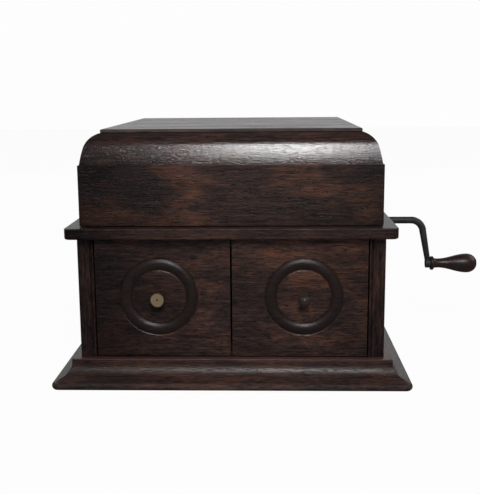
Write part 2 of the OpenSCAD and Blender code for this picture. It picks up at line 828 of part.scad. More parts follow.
module motor_screws() {
    color(nickel) for (p = pillars) at(p[0], p[1] + 10, top_plate_z) {
        cylinder(plate_t + board_t, r = 2.4);
        difference() {
            at(0, 0, plate_t + board_t) cylinder(2.4, r = 4.6);
            at(-5, -0.5, plate_t + board_t + 1.4) cube([10, 1, 2]);
        }
    }
}

// Bearings hung from the top plate, for the governor and the winding shaft
module motor_brackets() {
    gov_h = top_plate_z - worm_z + 7;
    wind_h = top_plate_z - crank_z + 5;
    color(iron) {
        for (x = [gov_x0, gov_x1]) difference() {
            at(x, worm_y - 6, top_plate_z - gov_h) cube([bearing_t, 12, gov_h]);
            at(x - 1, worm_y, worm_z) rotate([0, 90, 0]) cylinder(bearing_t + 2, r = gov_r + run);
        }
        difference() {
            at(drum_x + arbor_r + 1.2, drum_y - 8, crank_z - 5) cube([bearing_t, 16, wind_h]);
            at(drum_x, drum_y, crank_z) rotate([0, 90, 0]) cylinder(20, r = 3 + run);
        }
        difference() {
            at(drum_x + 42, drum_y - 10, crank_z - 9) cube([bearing_t, 20, wind_h + 4]);
            at(drum_x + 41, drum_y, crank_z) rotate([0, 90, 0])
                cylinder(bearing_t + 2, r = wind_shaft_r + run);
        }
    }
}

module barrel_arbor() {
    ratchet_z = bottom_plate_z + plate_t + 1;
    color(nickel) at(drum_x, drum_y, 0) {
        at(0, 0, bottom_plate_z) cylinder(motor_depth, r = arbor_r);
        at(0, 0, ratchet_z) linear_extrude(3) polygon([
            for (i = [0:23]) each [
                [13.5 * cos(15 * i), 13.5 * sin(15 * i)],
                [16 * cos(15 * i + 14), 16 * sin(15 * i + 14)]
            ]
        ]);
        at(0, 0, contrate_z - 3) cylinder(4, r = 8);
        at(0, 0, contrate_z) cylinder(3, r = contrate_r + 3);
        for (i = [0:contrate_teeth - 1]) rotate([0, 0, 360 * i / contrate_teeth])
            translate([contrate_r - 3, -0.5, contrate_z + 2]) cube([6, 1, 3.6]);
    }
}

module winding_click() {
    click_z = bottom_plate_z + plate_t;
    color(iron) at(drum_x, drum_y, click_z) rotate([0, 0, 60]) {
        translate([30, -8, 0]) cylinder(6, r = 3);
        translate([30, -8, 0]) cylinder(1, r = 4.5);
        translate([30, -8, 1]) linear_extrude(3)
            polygon([[-4, -3], [4, -4], [4, 4], [-3, 5], [-13.2, 9], [-13.6, 7.2]]);
    }
}

module spring_barrel() {
    rim = 2;
    color(nickel) at(drum_x, drum_y, drum_z) difference() {
        union() {
            cylinder(barrel_h, r = barrel_r);
            translate([0, 0, barrel_h]) linear_extrude(gear_t)
                polygon(gear_pts(barrel_teeth, step_from_drum_a));
            translate([0, 0, barrel_h + gear_t]) cylinder(1.4, r = 9);
        }
        translate([0, 0, rim]) cylinder(barrel_h - rim, r = barrel_r - rim);
        translate([0, 0, -1]) cylinder(barrel_h + gear_t + 4, r = arbor_r + run);
    }
}

// A flat strip wound from the arbor out to the barrel's wall
module mainspring() {
    turns = 9;
    strip = 0.8;
    r0 = arbor_r + 1.5;
    r1 = barrel_r - 2 - strip - free;
    steps = turns * 20;
    inner = spiral_pts(r0, r1, turns, steps);
    outer = spiral_pts(r0 + strip, r1 + strip, turns, steps);
    color(iron) at(drum_x, drum_y, drum_z + 2 + free) linear_extrude(barrel_h - 2 - 2 * free)
        polygon(concat(inner, [for (i = [0:steps]) outer[steps - i]]));
}

module step_gear() {
    pinion_phase = step_from_drum_a + 180 + 180 / step_pinion_teeth;
    color(brass) at(step_x, step_y, 0) {
        at(0, 0, bottom_plate_z) cylinder(motor_depth, r = 3);
        at(0, 0, drum_gear_z - 2) gear(step_pinion_teeth, gear_t + 4, pinion_phase, 2.9);
        at(0, 0, step_gear_z) difference() {
            gear(step_teeth, 3, spin_from_step_a, 2.9);
            for (k = [0:4]) rotate([0, 0, 72 * k]) translate([20, 0, -1]) cylinder(5, r = 8);
        }
    }
}

module turntable_spindle() {
    phase = spin_from_step_a + 180 + 180 / spin_pinion_teeth;
    tilt = atan(worm_lead / (2 * PI * worm_r));
    color(nickel) at(spin_x, spin_y, 0) {
        at(0, 0, bottom_plate_z) cylinder(platter_z + 2 - bottom_plate_z, r = spin_r);
        at(0, 0, platter_z) cylinder(record_z + 5 - platter_z, r = 3.5);
        at(0, 0, record_z + 5) sphere(3.5);
        at(0, 0, step_gear_z - 2) gear(spin_pinion_teeth, 7, phase, spin_r - 0.1);
        at(0, 0, worm_z - 4) cylinder(8, r = worm_wheel_r - 1.4);
        at(0, 0, worm_z - 7) cylinder(14, r = 8);
        for (i = [0:worm_wheel_teeth - 1]) rotate([0, 0, 360 * i / worm_wheel_teeth])
            translate([0, 0.9 - worm_wheel_r, worm_z]) rotate([0, tilt, 0])
                cube([0.9, 3, 7.5], center = true);
    }
}

module turntable_platter() {
    rim = 4;
    color(nickel) at(spin_x, spin_y, platter_z) difference() {
        union() {
            translate([0, 0, platter_h - 3]) cylinder(3, r = platter_r);
            difference() {
                cylinder(platter_h, r = platter_r);
                translate([0, 0, -1]) cylinder(platter_h + 2, r = platter_r - rim);
            }
            translate([0, 0, 2 + seat]) cylinder(platter_h - 2 - seat, r = 16);
        }
        translate([0, 0, -1]) cylinder(platter_h + 2, r = 3.5 + run);
    }
}

module turntable_felt() {
    color("#2f4a34") at(spin_x, spin_y, platter_top) difference() {
        cylinder(felt_t, r = platter_r - 1.5);
        translate([0, 0, -1]) cylinder(felt_t + 2, r = 4.5);
    }
}

module governor_shaft() {
    color(nickel) {
        at(gov_x0, worm_y, worm_z) rotate([0, 90, 0]) cylinder(gov_x1 + bearing_t - gov_x0, r = gov_r);
        at(spin_x - worm_len / 2, worm_y, worm_z) rotate([0, 90, 0])
            linear_extrude(worm_len, twist = -360 * worm_len / worm_lead, slices = 44, segments = 1)
                worm_section();
        at(fixed_collar_x, worm_y, worm_z) rotate([0, 90, 0]) cylinder(6, r = 7);
    }
}

module worm_section() {
    polygon([for (i = [0:15]) let (a = 22.5 * i + worm_phase, r = i % 4 < 2 ? worm_r : worm_r - 1.6)
        [r * cos(a), r * sin(a)]]);
}

// Three flat springs from the fixed collar to the sliding friction disc, a weight on each
module governor_springs() {
    span = fixed_collar_x - disc_x - disc_t;
    color(nickel) at(0, worm_y, worm_z) {
        at(disc_x, 0, 0) rotate([0, 90, 0]) difference() {
            union() {
                cylinder(disc_t, r = disc_r);
                cylinder(disc_t + 5, r = 7);
            }
            translate([0, 0, -1]) cylinder(disc_t + 7, r = gov_r + run);
        }
        for (k = [0:2]) rotate([120 * k, 0, 0])
            translate([disc_x + disc_t - 0.2, -3, 7 - 0.1]) bowed_strip(span);
    }
}

// A strip bowed out to its weight and back
module bowed_strip(span) {
    top = spring_at_r - 7;
    translate([0, 6, 0]) rotate([90, 0, 0]) linear_extrude(6) polygon([
        [0, 0], [8, 0], [span * 0.4, top], [span * 0.6, top], [span - 4, 0.2], [span + 5, 0.2],
        [span + 5, 0.9], [span - 4, 0.9], [span * 0.6, top + 0.7], [span * 0.4, top + 0.7],
        [8, 0.7], [0, 0.7]
    ]);
}

module governor_weights() {
    mid_x = (fixed_collar_x + disc_x + disc_t) / 2;
    color(brass) at(mid_x, worm_y, worm_z) for (k = [0:2]) rotate([120 * k, 0, 0])
        at(0, 0, spring_at_r + 0.6 + 0.1) cylinder(5, r = weight_r);
}

module speed_knob() {
    color(nickel) at(speed_x, speed_y, 0) {
        at(0, 0, lever_z - 2) cylinder(board_top + 4 - lever_z + 2, r = 3);
        at(-cam_off, 0, lever_z - 2) cylinder(8, r = cam_r);
        at(0, 0, board_top + free) cylinder(1.4, r = 10);
        at(0, 0, board_top + 1.6) cylinder(8, r = 8);
        at(0, -0.7, board_top + 9.5) cube([7.5, 1.4, 0.8]);
    }
}

// Lever under the board: its pad rides the governor's disc, its tail follows the knob's cam
module friction_lever() {
    tail = speed_y - lever_y;
    pad_y = worm_y - 14;
    cam_x = speed_x + cam_r - cam_off + free;
    color(iron) {
        at(lever_x, lever_y, lever_z - 2) difference() {
            union() {
                cylinder(6, r = 7);
                translate([-2.5, 0, 0]) cube([5, pad_y - lever_y + 4, 3]);
                translate([2.5, pad_y - lever_y - 3, -4]) cube([disc_x - free - lever_x - 2.5, 6, 7]);
                linear_extrude(3)
                    polygon([[-5, 0], [5, 0], [cam_x - lever_x + 5, tail], [cam_x - lever_x, tail]]);
                translate([cam_x - lever_x, tail - 4, 0]) cube([5, 5, 3]);
            }
            translate([0, 0, -1]) cylinder(9, r = 3 + run);
        }
    }
}

module brake_lever() {
    z = platter_z + 1;
    color(nickel) at(brake_x, brake_y, 0) {
        at(0, 0, board_top - 8) cylinder(z + 3 - board_top + 8, r = 3);
        at(0, 0, board_top + free) cylinder(z + 3 - board_top - free, r = 6);
        rotate([0, 0, brake_a + 180]) {
            at(0, -4, z) cube([brake_reach - 6, 8, 3]);
            at(-34, -3, z) cube([34, 6, 3]);
            at(-32, 0, z) cylinder(12, r = 4.5);
            difference() {
                at(brake_reach - 12, 1, z - 0.5) cube([20, 16, 5]);
                at(brake_reach + platter_r, 0, z - 1) cylinder(7, r = platter_r + free, $fn = 200);
            }
        }
    }
}

// Crank

module winding_shaft() {
    inner = drum_x + arbor_r + 1.2;
    color(nickel) at(0, drum_y, crank_z) difference() {
        union() {
            along_x(inner) cylinder(20, r = 3);
            along_x(inner + bearing_t + 0.5) cylinder(wind_step_x - inner - bearing_t - 0.5, r = 4.5);
            along_x(wind_step_x) cylinder(rod_x0 - wind_step_x, r = wind_shaft_r);
            along_x(wind_x - 4) linear_extrude(8) polygon(gear_pts(wind_teeth, 180 / wind_teeth));
        }
        along_x(rod_x0 - 30) cylinder(31, r = crank_r - 1 + seat);
    }
}

module crank_arm() {
    top = crank_top_x;
    turn = 90 - crank_lean;
    start_x = top - bend_r * tan(turn / 2);
    lap = 0.5;
    arm_l = crank_throw / cos(crank_lean) - bend_r * tan(turn / 2) + lap;
    color(iron) at(0, drum_y, crank_z) {
        along_x(rod_x0 - 28) cylinder(30, r = crank_r - 1);
        along_x(rod_x0) cylinder(start_x - rod_x0 + lap, r = crank_r - run);
        translate([start_x, 0, -bend_r]) rotate([90, 0, 0]) rotate([0, 0, 90 - turn])
            rotate_extrude(angle = turn) translate([bend_r, 0]) circle(crank_r);
        difference() {
            union() {
                translate([crank_end_x, 0, -crank_throw]) rotate([0, -crank_lean, 0])
                    cylinder(arm_l, r1 = crank_tip_r, r2 = crank_r - run);
                translate([crank_end_x - eye_t, 0, -crank_throw]) rotate([0, 90, 0])
                    cylinder(handle_x - free - crank_end_x + eye_t, r = eye_r);
            }
            translate([crank_end_x - 10, 0, -crank_throw]) rotate([0, 90, 0]) {
                cylinder(20, r = handle_pin_r + seat);
                cylinder(10 - eye_t + pin_head_t, r = pin_head_r + seat);
            }
            translate([handle_x - free, -10, -crank_throw - 12]) cube([10, 20, 28]);
        }
    }
}

module crank_handle_pin() {
    color(nickel) at(0, drum_y, crank_end_z) {
        along_x(crank_end_x - eye_t)
            cylinder(handle_x + handle_len - 5 - crank_end_x + eye_t, r = handle_pin_r);
        along_x(crank_end_x - eye_t) cylinder(pin_head_t, r = pin_head_r);
        along_x(handle_x + handle_len - 5) cylinder(2.4, r = 6);
    }
}

module crank_handle() {
    r = handle_r;
    l = handle_len;
    far = l - r - 1;
    color("#20140e") at(0, drum_y, crank_end_z) along_x(handle_x) difference() {
        rotate_extrude() polygon(concat(
            [[0, 0], [10.2, 0], [11, 0.8], [11, 3.8], [10, 4.8], [8.2, 5.6], [7.5, 8], [7.3, 11]],
            [for (i = [0:14])
                let (t = i / 14)
                [7.3 + (r - 7.3) * (1 - cos(180 * t)) / 2, 11 + (far - 11) * t]],
            [for (i = [1:9]) let (a = 9.2 * i) [r * cos(a), far + (r + 1) * sin(a)]],
            [[0, l]]
        ));
        translate([0, 0, -1]) cylinder(l + 2, r = handle_pin_r + run);
        translate([0, 0, l - 5 - run]) cylinder(6, r = 6 + free);
    }
}

module crank_bush() {
    tube = crank_r + 2.5;
    color(nickel) at(0, drum_y, crank_z) difference() {
        union() {
            along_x(in_x) cylinder(wall, r = tube);
            along_x(cx) cylinder(2, r = 13);
            along_x(cx + 2) cylinder(1.4, r = 9);
        }
        along_x(in_x - 1) cylinder(rod_x0 - in_x + 1.5, r = wind_shaft_r + 0.1);
        along_x(rod_x0) cylinder(40, r = crank_r);
    }
}

// Tonearm, drawn along -Y from its pivot and turned out to its rest

module arm_place() {
    translate([arm_x, arm_y, 0]) rotate([0, 0, arm_rest_a]) children();
}

module tonearm_base() {
    color(nickel) arm_place() difference() {
        union() {
            at(0, 0, board_top) cylinder(4, r = 30);
            at(0, 0, board_top + 4) cylinder(2, r = 20);
            at(0, 0, board_top) cylinder(24, r = base_r);
            for (k = [0:3]) rotate([0, 0, 45 + 90 * k]) at(25, 0, board_top + 4) cylinder(1.2, r = 3);
        }
        at(0, 0, board_top - 1) cylinder(30, r = base_r - 3);
    }
}

module tonearm_tube() {
    cup_top = arm_z - bend_arm_r;
    inner_r = arm_r - arm_wall;
    color(nickel) arm_place() difference() {
        union() {
            at(0, 0, board_top + 8) cylinder(cup_top - board_top - 8, r = socket_r);
            at(0, 0, board_top + 8) cylinder(3, r = socket_r + 1.5);
            translate([0, -bend_arm_r, cup_top]) rotate([90, 0, 90]) rotate_extrude(angle = 90)
                translate([bend_arm_r, 0]) circle(arm_r);
            translate([0, -bend_arm_r, arm_z]) rotate([90, 0, 0])
                cylinder(arm_len - bend_arm_r, r1 = arm_r, r2 = arm_tip_r);
            translate([0, -arm_len + 8, arm_z]) rotate([90, 0, 0]) cylinder(8, r = arm_tip_r + 1.5);
        }
        at(0, 0, board_top + 7) cylinder(17.3, r = base_r + run);
        at(0, 0, board_top + 20) cylinder(cup_top - board_top - 20, r = inner_r);
        translate([0, -bend_arm_r, cup_top]) rotate([90, 0, 90]) rotate_extrude(angle = 90)
            translate([bend_arm_r, 0]) circle(inner_r);
        translate([0, -bend_arm_r, arm_z]) rotate([90, 0, 0])
            cylinder(arm_len - bend_arm_r - 13, r1 = inner_r, r2 = arm_tip_r - arm_wall);
        translate([0, -arm_len + 14, arm_z]) rotate([90, 0, 0]) cylinder(15, r = arm_tip_r - arm_wall);
    }
}

module gooseneck() {
    bore = arm_tip_r - 2 * arm_wall - 0.2;
    y1 = -arm_len - 12;
    color(nickel) arm_place() translate([0, 0, arm_z]) difference() {
        union() {
            translate([0, -arm_len + 12, 0]) rotate([90, 0, 0])
                cylinder(13, r = arm_tip_r - arm_wall - run);
            translate([0, -arm_len - free, 0]) rotate([90, 0, 0]) cylinder(12 - free, r = arm_tip_r);
            translate([0, -arm_len - free, 0]) rotate([90, 0, 0]) cylinder(3, r = arm_tip_r + 1.5);
            translate([elbow_r, y1, 0]) rotate([0, 0, 180]) rotate_extrude(angle = 90)
                translate([elbow_r, 0]) circle(arm_tip_r);
            translate([elbow_r, -soundbox_y, 0]) rotate([0, 90, 0]) cylinder(2 + 4, r = arm_tip_r - 2.5);
            translate([elbow_r, -soundbox_y, 0]) rotate([0, 90, 0]) cylinder(2, r = arm_tip_r);
        }
        translate([0, -arm_len + 13, 0]) rotate([90, 0, 0]) cylinder(25, r = bore);
        translate([elbow_r, y1, 0]) rotate([0, 0, 180]) rotate_extrude(angle = 90)
            translate([elbow_r, 0]) circle(bore);
        translate([elbow_r, -soundbox_y, 0]) rotate([0, 90, 0]) cylinder(8, r = bore);
    }
}

module soundbox_place() {
    arm_place() translate([soundbox_x, -soundbox_y, arm_z]) rotate([0, 90, 0]) children();
}

module soundbox_case() {
    r = soundbox_r;
    hole = arm_tip_r - 2.5 + seat;
    color(nickel) soundbox_place() rotate_extrude() polygon([
        [hole, 0], [14, 0], [16, 1.6], [r - 2, 2.4], [r, 4.4], [r, 12], [r - 1.4, 13.6], [r - 6, 13.6],
        [r - 6, 12], [r - 3.5, 10.4], [r - 3.5, 5], [hole, 4]
    ]);
}

module soundbox_diaphragm() {
    color("#b9a27a") soundbox_place() {
        translate([0, 0, 7.2]) cylinder(0.6, r = soundbox_r - 3.7);
        translate([0, 0, 7.8]) cylinder(0.8, r = 3);
    }
}

// Bar from the diaphragm's middle to the needle, with the needle's clamp screw
module stylus_bar() {
    drop = soundbox_r + 1.5;
    color(nickel) soundbox_place() {
        translate([0, 0, 8.7]) cylinder(7, r = 1.1);
        translate([-1.4, -1.5, 14.2]) cube([drop, 3, 2.4]);
        translate([drop - 3, 0, 16.6]) rotate([90, 0, 0]) cylinder(7, r = 2.6, center = true);
        translate([drop - 3, 0, 16.6]) rotate([0, 0, -38]) rotate([0, 90, 0]) cylinder(8, r = 1.9);
        translate([drop - 3, 0, 16.6]) rotate([0, 0, -38]) rotate([0, 90, 0]) cylinder(14, r = 0.7);
        translate([drop - 3, 0, 16.6]) cylinder(6, r = 1.2);
        translate([drop - 3, 0, 20.4]) cylinder(2.4, r = 3);
    }
}

// A hook under and outside the arm, open towards the turntable
module tonearm_rest() {
    side = rest_tube_r + free;
    color(nickel) arm_place() translate([0, -rest_at, 0]) {
        at(side + 4, 0, board_top) cylinder(arm_z - board_top - rest_tube_r - 3, r = 3);
        at(side + 4, 0, board_top) cylinder(2, r = 8);
        at(-6, -5, arm_z - rest_tube_r - free - 3.2) cube([side + 13.5, 10, 3]);
        at(side + 0.3, -5, arm_z - rest_tube_r - 3) cube([3, 10, 10]);
    }
}

module needle_cups() {
    color(nickel) for (s = [-1, 1]) at(s * cup_x, -cup_y, board_top) difference() {
        union() {
            cylinder(cup_h, r1 = cup_r - 3, r2 = cup_r);
            cylinder(2, r = cup_r + 2);
        }
        translate([0, 0, 2]) cylinder(cup_h, r1 = cup_r - 4.5, r2 = cup_r - 1.5);
    }
}

plinth_mouldings();
bottom_board();
left_side_panel();
right_side_panel();
back_panel();
front_frame();
waist_mouldings();
motor_board();
ledger_strips();
horn_floor();
horn_roof();
horn_cheeks();
horn_throat();
crank_bush();
door_pins_and_catches();
motor_top_plate();
motor_bottom_plate();
motor_pillars();
motor_screws();
motor_brackets();
winding_click();
case_hinge_leaves();
stay_guide();
tonearm_base();
tonearm_rest();
needle_cups();
winding_shaft();
crank_arm();
crank_handle_pin();
crank_handle();
barrel_arbor();
spring_barrel();
mainspring();
step_gear();
turntable_spindle();
turntable_platter();
turntable_felt();
governor_shaft();
governor_weights();
governor_springs();
speed_knob();
friction_lever();
brake_lever();
tonearm_tube();
gooseneck();
soundbox_case();
soundbox_diaphragm();
stylus_bar();
lid_frame_boards();
lid_mouldings();
lid_top_panel();
lid_hinge_leaves();
lid_stay();
left_door();
left_door_ring();
left_door_knob();
right_door();
right_door_ring();
right_door_knob();
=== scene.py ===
"""Looks of the tabletop gramophone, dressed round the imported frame."""
import json
import math

import bpy
from mathutils import Matrix, Vector

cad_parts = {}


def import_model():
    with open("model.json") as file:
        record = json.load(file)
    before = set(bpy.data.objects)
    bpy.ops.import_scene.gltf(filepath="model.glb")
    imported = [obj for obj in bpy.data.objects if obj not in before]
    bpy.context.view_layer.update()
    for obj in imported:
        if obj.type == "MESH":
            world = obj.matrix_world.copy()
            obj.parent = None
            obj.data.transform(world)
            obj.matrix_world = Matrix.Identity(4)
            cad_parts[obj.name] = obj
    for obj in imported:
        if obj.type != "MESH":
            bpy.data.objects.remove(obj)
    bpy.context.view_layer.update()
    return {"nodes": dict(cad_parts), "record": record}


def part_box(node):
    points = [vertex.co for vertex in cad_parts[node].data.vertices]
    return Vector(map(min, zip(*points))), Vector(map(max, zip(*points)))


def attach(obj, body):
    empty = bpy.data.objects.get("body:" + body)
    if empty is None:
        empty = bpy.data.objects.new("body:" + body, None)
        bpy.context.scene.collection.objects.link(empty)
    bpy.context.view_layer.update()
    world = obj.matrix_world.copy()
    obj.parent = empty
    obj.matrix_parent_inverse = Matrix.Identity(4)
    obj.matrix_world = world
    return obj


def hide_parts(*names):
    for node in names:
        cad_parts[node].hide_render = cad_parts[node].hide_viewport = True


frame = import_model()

NODES = frame["nodes"]

# The camera that fits the photograph: its place, its angles in radians and its focal length in pixels
CAMERA_AT = (0.05002, -1.35137, 0.39448)
PITCH, YAW, ROLL = 0.1839, -0.0338, 0.0078
FOCAL_PX = 865.1
LONG_SIDE_PX = 494
SENSOR_MM = 36.0

# Lamps: name, place, point aimed at, size in metres and power in watts
SOFTBOXES = (
    ("key", (0.135, -1.78, 1.36), (0.06, -0.2, 0.25), (0.36, 0.8), 32),
    ("back", (0.0, 2.6, 0.95), (0.0, 0.0, 0.3), (4.4, 1.7), 17),
    ("left", (-2.7, 0.4, 2.2), (0.0, 0.1, 0.15), (3.2, 2.2), 50),
    ("right", (2.7, 0.4, 2.2), (0.0, 0.1, 0.15), (3.2, 2.2), 50),
)

# What the camera sees as white, and how far the floor's own shading shows through it
WHITE = (0.985, 0.985, 0.985, 1)
FLOOR_WHITE_SHARE = 0.975
FLOOR_SIZE = 14
ROOM_TINT = (0.9, 0.93, 1.0, 1)
ROOM_LIGHT = 0.09

# Half sizes in plan of the lid and of the case, at whose corners the mouldings are mitred
LID_HALF = (0.200, 0.230)
CASE_HALF = (0.2035, 0.2335)
# The cushion moulding's inner face: half sizes of the box that its arc runs round, the arc's height and radius
CUSHION_HOLLOW = (0.153, 0.183, 0.294, 0.043)
# The plinth is dull below the first height, and above the second its ledge gets a painted red-brown highlight,
# standing in for the light falling on it
PLINTH_FOOT_Z = 0.009
PLINTH_LEDGE_Z = 0.0325
# Sawn edges are rounded by this much, where the faces turn by more than this angle
EDGE_WIDTH = 0.0007
EDGE_ANGLE = math.radians(40)

# Colours of the stained oak
OAK_DARK = (0.0044, 0.0029, 0.0028)
OAK_MIDDLE = (0.0115, 0.0068, 0.0062)
OAK_LIGHT = (0.0300, 0.0158, 0.0132)
OAK_FLECK = (0.0420, 0.0205, 0.0150)
OAK_WORN = (0.0720, 0.0240, 0.0100)
OAK_PORE = (0.0020, 0.0015, 0.0014)
# Painted highlight on the plinth's ledge: red-brown added where light falls on it
OAK_LEDGE_HIGHLIGHT = (0.0180, 0.0085, 0.0080)
# Roughness of wood without polish
DULL = 0.75
# Painted shade: a board darkens towards its left and right sides, standing in for the light falling off there;
# this is where that darkening fades out, in metres right of a point 0.5 m left of the middle
LEFT_SHADE_FADE = (0.30, 0.46)
RIGHT_SHADE_FADE = (0.60, 0.70)

# Colours of the worn knob: its bare face, its edge, its side and the side's worn underside
KNOB_PALE = ((0.124, 0.089, 0.046), (0.170, 0.124, 0.069))
KNOB_SOILED = (0.101, 0.069, 0.035)
KNOB_EDGE = (0.0090, 0.0060, 0.0050)
KNOB_SIDE = (0.060, 0.030, 0.014)
KNOB_UNDERSIDE = (0.150, 0.075, 0.022)
# How near the knob's front plane a point lies to count as its face
KNOB_FACE_DEPTH = 0.0006


def camera():
    """The photograph's camera."""
    forward = Vector((math.sin(YAW) * math.cos(PITCH), math.cos(YAW) * math.cos(PITCH), -math.sin(PITCH)))
    level = Vector((math.cos(YAW), -math.sin(YAW), 0))
    down = level.cross(forward) * -1
    down = down if down.z < 0 else -down
    right = math.cos(ROLL) * level + math.sin(ROLL) * down
    down = -math.sin(ROLL) * level + math.cos(ROLL) * down
    data = bpy.data.cameras.new("camera")
    data.sensor_width = SENSOR_MM
    data.lens = FOCAL_PX * SENSOR_MM / LONG_SIDE_PX
    ob = bpy.data.objects.new("camera", data)
    turn = Matrix((right, -down, -forward)).transposed()
    ob.matrix_world = Matrix.Translation(CAMERA_AT) @ turn.to_4x4()
    bpy.context.scene.collection.objects.link(ob)
    bpy.context.scene.camera = ob


class Nodes:
    """A short way to write a material's nodes."""

    def __init__(self, name):
        self.mat = bpy.data.materials.new(name)
        self.mat.use_nodes = True
        self.tree = self.mat.node_tree
        self.tree.nodes.clear()
        self.out = self.add("ShaderNodeOutputMaterial")
        self.shader = self.add("ShaderNodeBsdfPrincipled")
        self.link(self.shader.outputs[0], self.out.inputs["Surface"])
        self.place = self.add("ShaderNodeTexCoord").outputs["Object"]

    def add(self, kind, **values):
        node = self.tree.nodes.new(kind)
        for key, value in values.items():
            setattr(node, key, value)
        return node

    def link(self, a, b):
        self.tree.links.new(a, b)

    def put(self, socket, value):
        """Links a socket, or sets a constant."""
        if isinstance(value, bpy.types.NodeSocket):
            self.link(value, socket)
        else:
            socket.default_value = value

    def math(self, op, a, b=0.0):
        node = self.add("ShaderNodeMath", operation=op)
        self.put(node.inputs[0], a)
        self.put(node.inputs[1], b)
        return node.outputs[0]

    def plus(self, a, b):
        return self.math("ADD", a, b)

    def minus(self, a, b):
        return self.math("SUBTRACT", a, b)

    def times(self, a, b):
        return self.math("MULTIPLY", a, b)

    def larger(self, a, b):
        return self.math("MAXIMUM", a, b)

    def length(self, a, b):
        """The length of a step with sides a and b."""
        return self.math("SQRT", self.plus(self.times(a, a), self.times(b, b)))

    def vmath(self, op, a, b):
        node = self.add("ShaderNodeVectorMath", operation=op)
        self.put(node.inputs[0], a)
        self.put(node.inputs[1], b)
        return node.outputs[0]

    def split(self, vector):
        node = self.add("ShaderNodeSeparateXYZ")
        self.link(vector, node.inputs[0])
        return node.outputs

    def join(self, x, y, z):
        node = self.add("ShaderNodeCombineXYZ")
        for socket, value in zip(node.inputs, (x, y, z)):
            self.put(socket, value)
        return node.outputs[0]

    def noise(self, where, scale, detail, rough, distort=0.0):
        node = self.add("ShaderNodeTexNoise")
        self.put(node.inputs["Vector"], where)
        for key, value in (("Scale", scale), ("Detail", detail), ("Roughness", rough), ("Distortion", distort)):
            node.inputs[key].default_value = value
        return node.outputs["Fac"]

    def grain(self, where, slender, scale, detail, rough, distort=0.0):
        """Noise that is drawn out along the first axis, to this many times its width."""
        return self.noise(self.vmath("MULTIPLY", where, (1.0, slender, slender)), scale, detail, rough, distort)

    def ramp(self, fac, *stops):
        """A ramp from (place, value or colour) pairs."""
        node = self.add("ShaderNodeValToRGB")
        self.link(fac, node.inputs[0])
        ramp = node.color_ramp
        while len(ramp.elements) < len(stops):
            ramp.elements.new(0.5)
        for element, (at, value) in zip(ramp.elements, stops):
            element.position = at
            colour = (value,) * 3 if isinstance(value, (int, float)) else value
            element.color = (*colour[:3], 1)
        return node.outputs[0]

    def mix(self, fac, a, b, mode="MIX"):
        node = self.add("ShaderNodeMix", data_type="RGBA", blend_type=mode)
        self.put(node.inputs[0], fac)
        for socket, value in ((node.inputs[6], a), (node.inputs[7], b)):
            self.put(socket, (*value, 1) if isinstance(value, tuple) and len(value) == 3 else value)
        return node.outputs[2]

    def mix_vectors(self, fac, a, b):
        node = self.add("ShaderNodeMix", data_type="VECTOR")
        self.put(node.inputs[0], fac)
        self.put(node.inputs[4], a)
        self.put(node.inputs[5], b)
        return node.outputs[1]

    def bump(self, *layers):
        """Layers of (height, distance in metres, strength)."""
        normal = None
        for height, distance, strength in layers:
            node = self.add("ShaderNodeBump")
            node.inputs["Strength"].default_value = strength
            node.inputs["Distance"].default_value = distance
            self.link(height, node.inputs["Height"])
            if normal is not None:
                self.link(normal, node.inputs["Normal"])
            normal = node.outputs[0]
        self.link(normal, self.shader.inputs["Normal"])

    def set(self, **values):
        """Sets or links the shader's sockets, named with _ for a space."""
        for key, value in values.items():
            self.put(self.shader.inputs[key.replace("_", " ")], value)


def shade(colour, factor):
    return tuple(c * factor for c in colour)


def grain_place(n, along, half=(0.0, 0.0)):
    """Coordinates with the grain along their first axis. 'ring' turns it at the mitres of a box of half sizes."""
    x, y, z = n.split(n.place)[:3]
    if along == "x":
        return n.place
    if along == "y":
        return n.join(y, x, z)
    if along == "z":
        return n.join(z, x, y)
    beyond = n.minus(n.math("ABSOLUTE", y), n.math("ABSOLUTE", x))
    front = n.math("GREATER_THAN", beyond, half[1] - half[0])
    return n.mix_vectors(front, n.join(y, x, z), n.place)


def inside_arc(n, half_x, half_y, z, radius):
    """1 where a point lies inside a moulding's arc, which runs round a box of these half sizes."""
    x, y, up = n.split(n.place)[:3]
    out_x = n.minus(n.math("ABSOLUTE", x), half_x)
    out_y = n.minus(n.math("ABSOLUTE", y), half_y)
    away = n.length(n.larger(out_x, out_y), n.minus(up, z))
    return n.math("LESS_THAN", away, radius)


def oak_roughness(n, fibre, figure, streak, gloss, grime, dull_below, dull_sides, hollow):
    """Roughness of the polished oak, and of its smeared, unpolished or inner faces."""
    rough = n.plus(n.times(fibre, 0.22), gloss - 0.05)
    if grime:
        cloud = n.plus(n.times(streak, 0.6), n.times(figure, 0.4))
        rough = n.plus(rough, n.times(n.ramp(cloud, (0.42, 0.0), (0.62, 1.0)), grime))
    if dull_below:
        low = n.math("LESS_THAN", n.split(n.place)[2], dull_below)
        rough = n.larger(rough, n.times(low, DULL))
    if dull_sides:
        facing = n.add("ShaderNodeNewGeometry").outputs["Normal"]
        upright = n.ramp(n.math("ABSOLUTE", n.split(facing)[2]), (0.80, 1.0), (0.97, 0.0))
        rough = n.larger(rough, n.times(upright, dull_sides))
    if hollow:
        rough = n.larger(rough, n.times(inside_arc(n, *hollow), DULL))
    return rough


